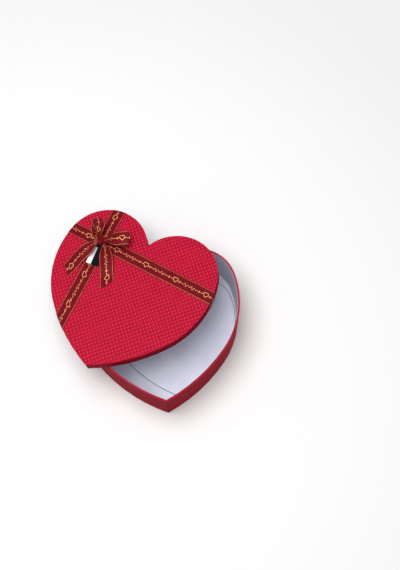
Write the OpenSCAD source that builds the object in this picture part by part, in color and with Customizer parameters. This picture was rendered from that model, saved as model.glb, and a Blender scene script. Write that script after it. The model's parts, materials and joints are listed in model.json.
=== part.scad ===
// Heart-shaped gift box of wrapped board. The lid is off and lies turned on the rim of the base,
// and carries two bands of ribbon, a bow and a hang tag. A loose card lies on the base's floor.
// Millimetres, +Z up, standing on Z = 0. The heart's notch is towards +Y and its tip towards -Y.

/* [Heart outline] */
// Width of the lid across its two lobes
heart_w = 300; // [220:5:380]
// Radius of a lobe's top, as a share of the width
lobe_r_share = 0.257; // [0.25:0.001:0.265]
// Radius of the heart's side, as a share of the width
side_r_share = 0.543; // [0.52:0.001:0.57]
// Radius of the flank that runs to the tip, as a share of the width
flank_r_share = 1.013; // [0.9:0.001:1.15]
// Angle at which a lobe's top runs into the side
lobe_end_a = 14.5; // [10:0.5:18]
// Angle at which the side runs into the flank
side_end_a = -39; // [-44:0.5:-35]

/* [Boards and papers] */
// Thickness of the grey board
board_t = 2.4; // [1.5:0.1:3.5]
// Thickness of the red cover paper
paper_t = 0.4; // [0.2:0.05:0.6]
// Thickness of the pale lining paper
liner_t = 0.3; // [0.2:0.05:0.5]
// Thickness of the tape that joins the boards at tip and notch
tape_t = 0.2; // [0.1:0.05:0.4]
// Reach of that tape from the corner that it joins
tape_reach = 18; // [10:1:30]

/* [Base] */
// Height of the base
base_h = 100; // [60:1:140]
// Height of the cover paper that is turned in over the rim
rim_turn_in = 16; // [8:1:30]
// Width of the cover paper that is turned under the floor
foot_turn_under = 14; // [8:1:25]
// Distance from the rim down to the lining's edge
liner_drop = 1.2; // [0.6:0.1:4]
// Clearance between the lid's skirt and the base, all round
lid_gap = 2; // [1:0.1:3]

/* [Floor card] */
// Inset of the loose heart-shaped card's outline from the lid's
card_in = 34; // [34:0.5:60]
// Thickness of the loose card
card_t = 1.2; // [0.6:0.1:2]
// Place of the card to the right of the heart's axis, as a share of the width
card_right_share = 0.0775; // [0:0.0025:0.0775]
// Place of the card towards the tip, as a share of the width
card_front_share = 0.0245; // [0.0125:0.0005:0.026]
// Turn of the card
card_turn = 2; // [0:0.1:3]

/* [Lid] */
// Height of the lid's skirt, top sheet included
skirt_h = 20; // [14:0.5:30]
// Width of the cover paper that is turned over the lid's plate
top_turn_over = 12; // [6:1:20]

/* [Lid at rest] */
// Turn of the lid on the base
lid_turn = -29.8; // [-36:0.1:-24]
// Place of the lid to the right of the base, as a share of the width
lid_right_share = -0.124; // [-0.15:0.002:-0.1]
// Place of the lid behind the base, as a share of the width
lid_back_share = 0.174; // [0.15:0.002:0.2]
// Clearance at each place where the lid, the tag or the card rests
seat_gap = 0.3; // [0.1:0.05:0.6]

/* [Ribbon] */
// Width of the ribbon
ribbon_w = 25; // [18:0.5:30]
// Thickness of the ribbon
ribbon_t = 0.5; // [0.3:0.05:0.7]
// Length of ribbon that is glued inside the skirt
ribbon_tuck = 10; // [5:0.5:13]
// Angle of the long band, which crosses both lobes
long_band_a = -5.5; // [-10:0.5:0]
// Angle of the cross band, which runs along one lobe
cross_band_a = 90; // [86:0.5:94]
// Place of the bands' crossing across the lid, as a share of the width
bow_x_share = -0.268; // [-0.3:0.002:-0.24]
// Place of the bands' crossing along the lid, as a share of the width
bow_y_share = 0.095; // [0.06:0.005:0.12]

/* [Bow] */
// Angle of the bow's waist, along which the ribbon passes through the knot
waist_a = -5; // [-30:1:0]
// Width of the gathered ribbon in the knot
waist_w = 7.5; // [6:0.5:8]
// Width of the knot's band
knot_w = 8; // [7:0.5:10]
// Length of the knot over the bow
knot_l = 16.5; // [16:0.5:19]
// Height of the knot
knot_h = 8; // [7:0.25:10]
// Thickness of the knot's folded band
knot_t = 1; // [0.8:0.1:1.4]
// Length of the loop that points to the back
back_loop_l = 42; // [36:1:52]
// Angle of the loop that points to the back
back_loop_a = 123; // [110:1:130]
// Length of the loop that points to the right
right_loop_l = 55; // [40:1:56]
// Angle of the loop that points to the right
right_loop_a = 23; // [20:1:40]
// Height by which a loop's end stands above the waist
loop_lift = 10.5; // [9:0.25:13]
// Spread of a loop's lower and upper ribbon at its middle
loop_spread = 7.5; // [5:0.25:8]
// Length of the tail on the left
left_tail_l = 82; // [65:1:88]
// Angle of the tail on the left
left_tail_a = -115; // [-120:1:-108]
// Length of the tail on the right
right_tail_l = 85; // [70:1:95]
// Angle of the tail on the right
right_tail_a = -57; // [-62:1:-48]
// Slant of a tail's cut end, from one edge to the other
tail_slant = 15; // [0:1:20]

/* [Tag] */
// Width of the tag
tag_w = 24; // [18:1:28]
// Length of the tag from its pivot to its far edge
tag_l = 47; // [35:1:49]
// Thickness of the tag
tag_t = 0.8; // [0.5:0.1:1]
// Radius of the tag's corners
tag_corner_r = 3; // [1:0.5:5]
// Angle of the tag
tag_a = -86; // [-92:1:-80]
// Radius of the glue stem that carries the bow and passes through the tag
stem_r = 2; // [1.5:0.1:3]
// Running clearance between the stem and the tag's hole
stem_gap = 0.3; // [0.2:0.05:0.6]

/* [Hidden] */

// Circles are drawn with this many sides
$fn = 48;
// Turn from one facet of an arc to the next
arc_step = 4.5;
// Facets of the rounding inside the notch, on each side
notch_steps = 3;
// Length that is longer than any side of the box
beyond = 2 * heart_w;

// Colours, as the photograph shows them
cover_red = [0.72, 0.07, 0.17];
wrap_red = [0.52, 0.1, 0.17];
ribbon_red = [0.45, 0.07, 0.12];
lining_white = [0.82, 0.82, 0.88];
board_grey = [0.6, 0.57, 0.52];
tape_brown = [0.72, 0.6, 0.42];
glue_clear = [0.85, 0.83, 0.76];
tag_black = [0.06, 0.06, 0.07];

// Heart outline: on each side three arcs that run into each other, about these centres
lobe_r = lobe_r_share * heart_w;
side_r = side_r_share * heart_w;
flank_r = flank_r_share * heart_w;
side_c = [heart_w / 2 - side_r, 0];
lobe_c = side_c + (side_r - lobe_r) * [cos(lobe_end_a), sin(lobe_end_a)];
flank_c = side_c - (flank_r - side_r) * [cos(side_end_a), sin(side_end_a)];
notch_a = acos(-lobe_c.x / lobe_r);
notch_y = lobe_c.y + lobe_r * sin(notch_a);
tip_y = flank_c.y - sqrt(flank_r ^ 2 - flank_c.x ^ 2);

// Levels and insets of the base; an inset is a distance inwards from the lid's outline
lid_in = paper_t + board_t + paper_t;
base_out = lid_in + lid_gap;
wall_out = base_out + paper_t;
wall_in = wall_out + board_t;
lining_in = wall_in + paper_t + liner_t;
board_z = 2 * paper_t;
floor_z = board_z + board_t;
card_z = floor_z + liner_t + seat_gap;
turn_in_z = base_h - rim_turn_in;

// Levels of the lid, from the lower edge of its skirt
plate_z = skirt_h - board_t - 2 * paper_t;
lid_depth = plate_z - liner_t;

// Levels of the bow, from the lid's top
crossing_z = 2 * ribbon_t;
tag_z = crossing_z + seat_gap;
knot_z = tag_z + tag_t + seat_gap;
waist_z = knot_z + knot_t + seat_gap + ribbon_t / 2;

// Points of an arc from one angle to another
function arc(c, r, from_a, to_a, n) = [
    for (i = [0:n]) let (a = from_a + (to_a - from_a) * i / n) c + r * [cos(a), sin(a)]
];
function steps(from_a, to_a) = ceil(abs(to_a - from_a) / arc_step);
function skip_first(pts) = [for (i = [1:len(pts) - 1]) pts[i]];
function skip_ends(pts) = [for (i = [1:len(pts) - 2]) pts[i]];
function reversed(pts) = [for (i = [len(pts) - 1:-1:0]) pts[i]];

// Right half of the heart from the notch to the tip, moved inwards by the inset
function half_outline(inset) =
    let (
        start_a = inset > 0 ? notch_a : acos(-lobe_c.x / (lobe_r - inset)),
        end_a = -acos(-flank_c.x / (flank_r - inset)),
        notch = inset > 0
            ? skip_first(arc([0, notch_y], inset, -90, notch_a - 180, notch_steps))
            : [],
        first = inset > 0 ? notch_y - inset : lobe_c.y + (lobe_r - inset) * sin(start_a),
        last = flank_c.y + (flank_r - inset) * sin(end_a),
        lobe = arc(lobe_c, lobe_r - inset, start_a, lobe_end_a, steps(notch_a, lobe_end_a)),
        side = arc(side_c, side_r - inset, lobe_end_a, side_end_a, steps(lobe_end_a, side_end_a)),
        flank = arc(flank_c, flank_r - inset, side_end_a, end_a, steps(side_end_a, end_a))
    )
    concat([[0, first]], notch, skip_first(lobe), skip_first(side), skip_ends(flank), [[0, last]]);

function mirrored(pts) = [for (p = pts) [-p.x, p.y]];

// Whole outline, moved inwards by the inset
function outline(inset) =
    concat(half_outline(inset), reversed(mirrored(skip_ends(half_outline(inset)))));

module heart(inset = 0) {
    polygon(outline(inset));
}

// Band of the heart between two insets
module ring(from_inset, to_inset) {
    difference() {
        heart(from_inset);
        heart(to_inset);
    }
}

// One side's half of that band; the two halves meet at the tip and at the notch
module half_ring(from_inset, to_inset, on_left) {
    pts = concat(half_outline(from_inset), reversed(half_outline(to_inset)));
    polygon(on_left ? mirrored(pts) : pts);
}

// Slab between two levels
module layer(from_z, to_z) {
    translate([0, 0, from_z]) linear_extrude(to_z - from_z) children();
}

// Where the lid rests. Its skirt crosses the rim twice, and the lid tips about the line through
// the two crossings until its plate meets the rim's farthest place.
function turned(p, a) = [p.x * cos(a) - p.y * sin(a), p.x * sin(a) + p.y * cos(a)];
function unit(v) = v / norm(v);
function left_of(v) = [-v.y, v.x];

lid_shift = [lid_right_share, lid_back_share] * heart_w;
function lid_outline(inset) = [for (p = outline(inset)) turned(p, lid_turn) + lid_shift];

// Crossing of two stretches of line, as a list of one point or none
function crossing(a, b, c, d) =
    let (ab = b - a, cd = d - c, k = cross(ab, cd))
    k == 0 ? [] :
    let (s = cross(c - a, cd) / k, t = cross(c - a, ab) / k)
    s >= 0 && s < 1 && t >= 0 && t < 1 ? [a + s * ab] : [];

// All crossings of two closed outlines
function crossings(p, q) = [
    for (i = [0:len(p) - 1], j = [0:len(q) - 1])
        each crossing(p[i], p[(i + 1) % len(p)], q[j], q[(j + 1) % len(q)])
];

// The point of a list that lies farthest along a direction
function farthest(pts, dir) =
    let (reach = [for (p = pts) p * dir]) pts[search(max(reach), reach)[0]];

outer_crossings = crossings(lid_outline(0), outline(base_out));
all_crossings = concat(
    outer_crossings,
    crossings(lid_outline(0), outline(lining_in)),
    crossings(lid_outline(lid_in), outline(base_out)),
    crossings(lid_outline(lid_in), outline(lining_in))
);
// Direction in which the lid slopes down, on the side of the lid's middle
function downhill(from, to) =
    let (side = left_of(unit(to - from))) side * (lid_shift - from) > 0 ? side : -side;
first_down = downhill(outer_crossings[0], outer_crossings[1]);
split = (outer_crossings[0] + outer_crossings[1]) / 2;
line_dir = unit(outer_crossings[1] - outer_crossings[0]);
rest_a = farthest([for (p = all_crossings) if ((p - split) * line_dir < 0) p], first_down);
rest_b = farthest([for (p = all_crossings) if ((p - split) * line_dir > 0) p], first_down);
down = downhill(rest_a, rest_b);
rest_arm = (farthest(outline(base_out), down) - rest_a) * down;
lid_tilt = asin(lid_depth / rest_arm);

// Puts a piece of the lid, drawn from its skirt's lower edge, where the lid rests
module on_lid() {
    translate([rest_a.x, rest_a.y, base_h + seat_gap])
        rotate(a = lid_tilt, v = [-down.y, down.x, 0])
            translate([lid_shift.x - rest_a.x, lid_shift.y - rest_a.y, 0])
                rotate(lid_turn)
                    children();
}

// Stretch of tape round the inside of the tip or of the notch
module corner_reach(at_tip) {
    y = at_tip ? tip_y : notch_y;
    translate([0, y]) square(2 * tape_reach, center = true);
}
module tape(inset, at_tip) {
    intersection() {
        ring(inset - tape_t, inset);
        corner_reach(at_tip);
    }
}

// Base
module base_bottom_paper() {
    color(lining_white) layer(0, paper_t) heart(base_out + paper_t);
}

module base_floor_board() {
    color(board_grey) layer(board_z, floor_z) heart(wall_in);
}

module base_wall_board(on_left) {
    color(board_grey) difference() {
        layer(board_z, base_h - paper_t) half_ring(wall_out, wall_in, on_left);
        for (at_tip = [true, false]) base_tape(at_tip);
    }
}

module base_tape(at_tip) {
    color(tape_brown)
        layer(floor_z + liner_t, turn_in_z - liner_t)
            tape(wall_in, at_tip);
}

// Cover paper: turned under the floor, up the wall, over the rim and down the inside
module base_wall_wrap() {
    color(wrap_red) {
        layer(paper_t, base_h) ring(base_out, wall_out);
        layer(paper_t, board_z) ring(base_out, base_out + foot_turn_under);
        layer(base_h - paper_t, base_h) ring(base_out, wall_in + paper_t);
        layer(turn_in_z, base_h) ring(wall_in, wall_in + paper_t);
    }
}

// Lining of the wall, which steps over the edge of the turned-in cover paper
module base_wall_liner() {
    color(lining_white) {
        layer(floor_z + liner_t, turn_in_z) ring(wall_in, wall_in + liner_t);
        layer(turn_in_z - liner_t, turn_in_z) ring(wall_in, lining_in);
        layer(turn_in_z - liner_t, base_h - liner_drop) ring(wall_in + paper_t, lining_in);
    }
}

module base_floor_liner() {
    color(lining_white) layer(floor_z, floor_z + liner_t) heart(wall_in);
}

// Loose card on the floor
module floor_card() {
    color(lining_white)
        translate([card_right_share, -card_front_share, 0] * heart_w)
            rotate(card_turn)
                layer(card_z, card_z + card_t) heart(card_in);
}

// Lid
module lid_plate_board() {
    color(board_grey) on_lid() layer(plate_z, plate_z + board_t) heart(paper_t);
}

module lid_tape(at_tip) {
    color(tape_brown) layer(paper_t, plate_z) tape(paper_t + board_t, at_tip);
}

module lid_skirt_board(on_left) {
    color(board_grey) on_lid() difference() {
        layer(paper_t, plate_z) half_ring(paper_t, paper_t + board_t, on_left);
        for (at_tip = [true, false]) lid_tape(at_tip);
    }
}

// Cover paper: turned over the plate, down the skirt, under its edge and up the inside
module lid_skirt_wrap() {
    top_z = skirt_h - paper_t;
    color(wrap_red) on_lid() {
        layer(0, top_z) ring(0, paper_t);
        layer(top_z - paper_t, top_z) ring(0, top_turn_over);
        layer(0, paper_t) ring(0, lid_in);
        layer(0, plate_z) ring(paper_t + board_t, lid_in);
    }
}

// Embossed sheet over the whole top; it fills the space between the turned-over edges
module lid_top_sheet() {
    color(cover_red) on_lid() {
        layer(skirt_h - paper_t, skirt_h) heart();
        layer(skirt_h - 2 * paper_t, skirt_h) heart(top_turn_over);
    }
}

module lid_liner() {
    color(lining_white) on_lid() layer(lid_depth, plate_z) heart(lid_in);
}

// Ribbon
bow_at = [bow_x_share, bow_y_share] * heart_w;

// Plan of a band through the crossing, widened on both sides
module band(a, widened = 0) {
    translate(bow_at) rotate(a) square([beyond, ribbon_w + 2 * widened], center = true);
}

// Ends of a band: down the skirt, under its edge and up the inside
module band_ends(a) {
    intersection() {
        union() {
            layer(-ribbon_t, skirt_h + ribbon_t) ring(-ribbon_t, 0);
            layer(-ribbon_t, 0) ring(-ribbon_t, lid_in + ribbon_t);
            layer(-ribbon_t, ribbon_tuck) ring(lid_in, lid_in + ribbon_t);
        }
        layer(-beyond, beyond) band(a);
    }
}

module ribbon_cross_band() {
    color(ribbon_red) on_lid() {
        band_ends(cross_band_a);
        layer(skirt_h, skirt_h + ribbon_t) intersection() {
            heart(-ribbon_t);
            band(cross_band_a);
        }
    }
}

// The long band steps over the cross band
module ribbon_long_band() {
    color(ribbon_red) on_lid() {
        band_ends(long_band_a);
        layer(skirt_h, skirt_h + ribbon_t) difference() {
            intersection() {
                heart(-ribbon_t);
                band(long_band_a);
            }
            band(cross_band_a);
        }
        layer(skirt_h, skirt_h + 2 * ribbon_t) difference() {
            intersection() {
                band(long_band_a);
                band(cross_band_a, widened = ribbon_t);
            }
            band(cross_band_a);
        }
        layer(skirt_h + ribbon_t, skirt_h + 2 * ribbon_t) intersection() {
            band(long_band_a);
            band(cross_band_a, widened = ribbon_t);
        }
    }
}

// Puts a piece of the bow, drawn about the crossing, on the lid's top
module on_bow() {
    on_lid() translate([bow_at.x, bow_at.y, skirt_h]) children();
}

module bow_glue_stem() {
    color(glue_clear) on_bow() layer(crossing_z, knot_z) circle(r = stem_r);
}

module round_box(l, h, r) {
    translate([-l / 2, r]) square([l, h - 2 * r]);
    translate([-l / 2 + r, 0]) square([l - 2 * r, h]);
    for (x = [-1, 1], y = [r, h - r]) translate([x * (l / 2 - r), y]) circle(r = r);
}

// Folded band that is drawn round the bow's waist
knot_corner_r = knot_h / 3;
module bow_knot() {
    color(ribbon_red) on_bow()
        rotate(waist_a) translate([-knot_w / 2, 0, knot_z]) rotate([90, 0, 90])
            linear_extrude(knot_w) difference() {
                round_box(knot_l, knot_h, knot_corner_r);
                translate([0, knot_t])
                    round_box(knot_l - 2 * knot_t, knot_h - 2 * knot_t, knot_corner_r - knot_t);
            }
}

// A loop or tail is a strip of ribbon swept along a route that runs straight through half of the
// knot, turned a little from the waist towards its end, and then bends to its own angle. Each
// section has points over and under the ribbon.
strip_cols = 6;
loop_sections = 36;
tail_sections = 28;
// Distances from the knot's middle at which a strip ends in the knot and leaves it, and of the
// point towards which it leaves
strip_end_l = 2.2;
strip_exit_l = knot_w / 2;
strip_knee_l = 15;
// Most by which a strip is turned from the waist where it leaves the knot
exit_turn = 18;
// Crown of the ribbon across its width, flat and where it is gathered
flat_crown_h = 0.8;
waist_crown_h = 0.3;
// Step in height from a tail's end in the knot to a loop's first end, and on to its second end
loop_end_h = 1.2;
// Height of a tail's end above the lid's top
tail_rest_z = seat_gap + ribbon_t / 2;
// Roll of each loop about its own route, at its far end
back_loop_roll = -8;
right_loop_roll = 12;
// Distance from the knot over which the gathered ribbon opens to its width
open_l = 28;
// A tail lies over the tag and sinks to the lid beyond it, in this share of what is left of it
sink_share = 0.6;
tag_reach = norm([tag_l, tag_w / 2]);

function smooth(t) = let (s = min(1, max(0, t))) s * s * (3 - 2 * s);
function bend(p, q, r, t) = (1 - t) ^ 2 * p + 2 * t * (1 - t) * q + t ^ 2 * r;
function bend_dir(p, q, r, t) = unit((1 - t) * (q - p) + t * (r - q));
function heading(a) = [cos(a), sin(a)];

// Direction in which a strip leaves the knot: the waist's, turned towards the strip's own angle
function exit_dir(a, waist_side) =
    let (
        waist = waist_side > 0 ? waist_a : waist_a + 180,
        turn = (a - waist + 540) % 360 - 180
    )
    heading(waist + min(exit_turn, max(-exit_turn, turn)));

// Share by which the ribbon has opened at a distance from the knot's middle
function opened(d) = smooth((d - knot_w / 2) / open_l);
function strip_half_w(d) = (waist_w + (ribbon_w - waist_w) * opened(d)) / 2;

// A section is [middle, direction across, half width, crown, slant along the route]
function loop_section(u, a, l, waist_side, roll) =
    let (
        out = sin(180 * u) ^ 2,
        away = exit_dir(a, waist_side),
        start = strip_exit_l * away,
        knee = strip_knee_l * away,
        end = l * heading(a),
        plan = bend(start, knee, end, out),
        aside = left_of(bend_dir(start, knee, end, out)),
        z = waist_z + loop_end_h * (1 + u) + out * (loop_lift - sqrt(2) * loop_spread * cos(180 * u)),
        lean = roll * out,
        middle = [plan.x, plan.y, z],
        across = [cos(lean) * aside.x, cos(lean) * aside.y, sin(lean)]
    )
    [middle, across, strip_half_w(norm(plan)), waist_crown_h * (1 - out), [0, 0, 0]];

function tail_section(u, a, l, waist_side, slant) =
    let (
        away = exit_dir(a, waist_side),
        start = strip_exit_l * away,
        knee = strip_knee_l * away,
        end = l * heading(a),
        plan = bend(start, knee, end, u),
        aside = left_of(bend_dir(start, knee, end, u)),
        sink = smooth((norm(plan) - tag_reach) / (sink_share * (l - tag_reach))),
        z = tail_rest_z + (waist_z - tail_rest_z) * (1 - sink),
        crown = waist_crown_h + (flat_crown_h - waist_crown_h) * opened(norm(plan)),
        cut = slant / 2 * u ^ 5
    )
    [[plan.x, plan.y, z], [aside.x, aside.y, 0], strip_half_w(norm(plan)), crown,
     [cut * cos(a), cut * sin(a), 0]];

// A strip's first or last section, moved back into the knot
function in_knot(s, away) =
    let (back = (strip_exit_l - strip_end_l) * away)
    [s[0] - [back.x, back.y, 0], s[1], s[2], s[3], s[4]];

// Points of one section: over the ribbon from one edge to the other, then back under it
function section_points(s, normal) = [
    for (side = [1, -1], j = [0:strip_cols])
        let (v = side * (2 * j / strip_cols - 1))
            s[0] + s[1] * s[2] * v + s[4] * v + normal * (s[3] * (1 - v ^ 2) + side * ribbon_t / 2)
];

module strip(sections) {
    n = len(sections);
    m = 2 * (strip_cols + 1);
    points = [
        for (i = [0:n - 1])
            let (
                along = unit(sections[min(i + 1, n - 1)][0] - sections[max(i - 1, 0)][0]),
                normal = unit(cross(along, sections[i][1]))
            )
                each section_points(sections[i], normal)
    ];
    sides = [
        for (i = [0:n - 2], j = [0:m - 1])
            let (a = i * m + j, b = i * m + (j + 1) % m)
                each [[a, b, b + m], [a, b + m, a + m]]
    ];
    ends = [
        for (first = [0, (n - 1) * m], j = [0:strip_cols - 1])
            let (a = first + j, b = a + 1, c = first + m - 2 - j, d = c + 1)
                each first == 0 ? [[a, c, b], [a, d, c]] : [[a, b, c], [a, c, d]]
    ];
    polyhedron(points, concat(sides, ends));
}

module bow_loop(a, l, waist_side, roll) {
    n = loop_sections;
    sections = [for (i = [0:n]) loop_section(i / n, a, l, waist_side, roll)];
    away = exit_dir(a, waist_side);
    ends = [in_knot(sections[0], away), in_knot(sections[n], away)];
    color(ribbon_red) on_bow() strip(concat([ends[0]], sections, [ends[1]]));
}

module bow_tail(a, l, waist_side, slant) {
    n = tail_sections;
    sections = [for (i = [0:n]) tail_section(i / n, a, l, waist_side, slant)];
    first = in_knot(sections[0], exit_dir(a, waist_side));
    color(ribbon_red) on_bow() strip(concat([first], sections));
}

// Hang tag that swings about the glue stem; its near corners are cut off
function tag_outline(half_w, neck_w, far_x, r) = concat(
    [[0, half_w], [-neck_w, neck_w], [-neck_w, -neck_w], [0, -half_w]],
    arc([far_x - r, r - half_w], r, -90, 0, 5),
    arc([far_x - r, half_w - r], r, 0, 90, 5)
);
module tag_card() {
    color(tag_black) on_bow() rotate(tag_a) layer(tag_z, tag_z + tag_t) difference() {
        polygon(tag_outline(tag_w / 2, tag_w / 4, tag_l, tag_corner_r));
        circle(r = stem_r + stem_gap);
    }
}

base_bottom_paper();
base_floor_board();
base_wall_board(on_left = true);  // base_wall_board_left
base_wall_board(on_left = false);  // base_wall_board_right
base_wall_wrap();
base_wall_liner();
base_floor_liner();
base_tape(at_tip = true);  // base_tip_tape
base_tape(at_tip = false);  // base_notch_tape
floor_card();
lid_plate_board();
lid_skirt_board(on_left = true);  // lid_skirt_board_left
lid_skirt_board(on_left = false);  // lid_skirt_board_right
lid_skirt_wrap();
lid_top_sheet();
lid_liner();
on_lid() lid_tape(at_tip = true);  // lid_tip_tape
on_lid() lid_tape(at_tip = false);  // lid_notch_tape
ribbon_cross_band();
ribbon_long_band();
bow_glue_stem();
bow_knot();
bow_loop(back_loop_a, back_loop_l, waist_side = -1, roll = back_loop_roll);  // bow_back_loop
bow_loop(right_loop_a, right_loop_l, waist_side = 1, roll = right_loop_roll);  // bow_right_loop
bow_tail(left_tail_a, left_tail_l, waist_side = -1, slant = tail_slant);  // bow_left_tail
bow_tail(right_tail_a, right_tail_l, waist_side = 1, slant = -tail_slant);  // bow_right_tail
tag_card();
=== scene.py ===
"""Heart-shaped gift box with ribbon, bow and hang tag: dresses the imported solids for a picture.

The ribbons are surfaces worked out in the lid's own coordinates, in millimetres, and put where
the lid rests. Papers, boards and the tag keep their solids and get procedural finishes.
"""

import json
import math

import bpy
import numpy as np
from bpy.props import FloatProperty, FloatVectorProperty, PointerProperty
from mathutils import Matrix, Vector


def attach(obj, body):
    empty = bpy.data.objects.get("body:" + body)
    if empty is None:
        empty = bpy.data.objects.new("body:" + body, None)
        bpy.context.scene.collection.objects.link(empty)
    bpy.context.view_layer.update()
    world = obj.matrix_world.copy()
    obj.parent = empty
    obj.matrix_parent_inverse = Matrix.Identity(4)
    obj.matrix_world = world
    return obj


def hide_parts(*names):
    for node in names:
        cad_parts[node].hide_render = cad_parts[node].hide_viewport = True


bl_info = {
    "name": "Heart Gift Box",
    "version": (1, 0, 0),
    "blender": (4, 5, 0),
    "location": "View3D > Sidebar > Gift Box",
    "description": "Ribbon, bow and paper finishes for a heart-shaped gift box",
    "category": "Object",
}

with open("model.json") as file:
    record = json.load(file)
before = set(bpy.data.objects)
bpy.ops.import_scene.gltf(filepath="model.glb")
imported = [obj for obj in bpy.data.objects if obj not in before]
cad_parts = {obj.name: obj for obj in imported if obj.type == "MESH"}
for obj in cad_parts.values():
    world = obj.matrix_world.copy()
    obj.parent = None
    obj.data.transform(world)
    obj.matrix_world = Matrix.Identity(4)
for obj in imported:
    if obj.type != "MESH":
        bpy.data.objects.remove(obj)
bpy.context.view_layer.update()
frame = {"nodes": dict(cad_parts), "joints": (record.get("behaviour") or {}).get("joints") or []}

MM = 0.001
TO_METRES = Matrix.Scale(MM, 4)
WHITE = (1, 1, 1, 1)


# Sizes in millimetres, and angles: the heart is three arcs on each side

HEART_W = 300.0
LOBE_R, SIDE_R, FLANK_R = 0.257 * HEART_W, 0.543 * HEART_W, 1.013 * HEART_W
LOBE_END, SIDE_END = math.radians(14.5), math.radians(-39.0)
BASE_H = 100.0
SKIRT_H, SKIRT_T = 20.0, 3.2
LID_TURN = math.radians(-29.8)
CARD_IN, CARD_TOP, CARD_LOW = 34.0, 5.0, 3.8
CARD_AT, CARD_TURN = np.array([0.0775, -0.0245]) * HEART_W, math.radians(2.0)
BOW_AT = np.array([-0.268, 0.095]) * HEART_W
LONG_BAND_A, CROSS_BAND_A = math.radians(-5.5), math.radians(90.0)
TAG_A = math.radians(-86.0)
TAG_PIVOT_Z = SKIRT_H + 1.7
OUTLINE_STEPS, NOTCH_STEPS = 120, 4


def unit(angle):
    """The unit vector at an angle in the plane."""
    return np.array([math.cos(angle), math.sin(angle)])


def arc(centre, radius, first, last, count):
    """Points of a circle from the first angle to the last."""
    a = np.linspace(first, last, count)
    return centre + radius * np.stack([np.cos(a), np.sin(a)], 1)


def heart_outline(inset, count=OUTLINE_STEPS):
    """Closed outline of the heart, moved inwards by inset: each arc keeps its centre and its
    radius is less by the inset, from the notch round the lobe, the side and the flank. Inside,
    the notch becomes an arc about its point, with the inset as its radius and in few steps."""
    side_c = np.array([HEART_W / 2 - SIDE_R, 0.0])
    lobe_c = side_c + (SIDE_R - LOBE_R) * unit(LOBE_END)
    flank_c = side_c - (FLANK_R - SIDE_R) * unit(SIDE_END)
    notch = math.acos(-lobe_c[0] / (LOBE_R - min(inset, 0.0)))
    tip = -math.acos(-flank_c[0] / (FLANK_R - inset))
    arcs = [
        arc(lobe_c, LOBE_R - inset, notch, LOBE_END, count),
        arc(side_c, SIDE_R - inset, LOBE_END, SIDE_END, count),
        arc(flank_c, FLANK_R - inset, SIDE_END, tip, count),
    ]
    if inset > 0:
        point = lobe_c + LOBE_R * unit(notch)
        arcs.insert(0, arc(point, inset, -math.pi / 2, notch - math.pi, NOTCH_STEPS)[1:-1])
    half = np.concatenate(arcs)
    return np.concatenate([half, (half * [-1, 1])[::-1]])


def line_ends(starts, heading, outline):
    """Distances along a heading at which lines through the starts leave the outline, backwards
    and forwards: each line is cut with every edge, and the least and greatest cuts are kept."""
    tiny = 1e-9
    edge = np.roll(outline, -1, 0) - outline
    gap = outline[None] - starts[:, None]
    across = heading[0] * edge[:, 1] - heading[1] * edge[:, 0]
    across = np.where(np.abs(across) < tiny, tiny, across)
    along = (gap[..., 0] * edge[:, 1] - gap[..., 1] * edge[:, 0]) / across
    share = (gap[..., 0] * heading[1] - gap[..., 1] * heading[0]) / across
    hit = (share >= 0) & (share < 1)
    back = np.where(hit, along, np.inf).min(1)
    ahead = np.where(hit, along, -np.inf).max(1)
    return back, ahead


# Where the lid rests, from the tag's pivot: its axis is the lid's normal


def lid_matrix():
    """Lid coordinates in millimetres to the row frame in metres: the lid is turned about its
    normal, tilted so that its normal is the tag's axis, and moved to put the pivot in place."""
    pivot = next(joint for joint in frame["joints"] if joint["name"] == "tag_swing")
    normal = Vector(pivot["axis"]).normalized()
    tilt = Vector((0, 0, 1)).rotation_difference(normal).to_matrix().to_4x4()
    turn = tilt @ Matrix.Rotation(LID_TURN, 4, "Z")
    at = turn @ Vector((*(BOW_AT * MM), TAG_PIVOT_Z * MM))
    return Matrix.Translation(Vector(pivot["pos_m"]) - at) @ turn @ TO_METRES


LID = lid_matrix()
BOW = LID @ Matrix.Translation((*BOW_AT, SKIRT_H))
TAG = BOW @ Matrix.Rotation(TAG_A, 4, "Z")


def smooth(x):
    """0 below 0, 1 above 1 and the cubic 3x^2 - 2x^3 between."""
    x = np.clip(x, 0, 1)
    return x * x * (3 - 2 * x)


# Sizes and colours that a user would change


def length_field(name, description, default):
    """Property for a length, whose default is given in millimetres."""
    return FloatProperty(
        name=name, description=description, default=default * MM, unit="LENGTH", precision=4
    )


def angle_field(name, description, degrees):
    """Property for an angle, whose default is given in degrees."""
    return FloatProperty(
        name=name, description=description, default=math.radians(degrees), subtype="ANGLE"
    )


def colour_field(name, description, default):
    """Property for a colour, whose default is given as linear values."""
    return FloatVectorProperty(
        name=name, description=description, default=default, subtype="COLOR", size=3, min=0, max=1
    )


def srgb(red, green, blue):
    """An 8-bit display colour as linear values: the display curve's straight foot, then its
    2.4 power."""
    c = np.array([red, green, blue]) / 255
    return tuple(np.where(c <= 0.04045, c / 12.92, ((c + 0.055) / 1.055) ** 2.4))


class PaperSettings(bpy.types.PropertyGroup):
    """Papers and boards of the box"""

    sheet_colour: colour_field("Top sheet", "Embossed paper of the lid's top", srgb(174, 6, 42))
    # The raised dashes' colour is a painted highlight on the embossing.
    ridge_highlight_colour: colour_field("Raised dashes", "Where the embossing stands up", srgb(224, 54, 90))
    wrap_colour: colour_field("Cover paper", "Plain paper of skirt and wall", srgb(140, 10, 32))
    # The worn edge colour is a painted highlight along the cover paper's folded rim.
    rim_highlight_colour: colour_field("Worn edge", "Cover paper where it is folded", srgb(176, 42, 70))
    lining_colour: colour_field("Lining", "Paper inside the box", srgb(232, 232, 246))
    board_colour: colour_field("Board", "Raw grey board", srgb(158, 150, 138))
    weave_x: length_field("Weave across", "Pitch of the embossing across the lid", 4.38)
    weave_y: length_field("Weave along", "Pitch of the embossing along the lid", 4.57)
    weave_h: length_field("Weave height", "Height of the embossing", 0.25)


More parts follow.
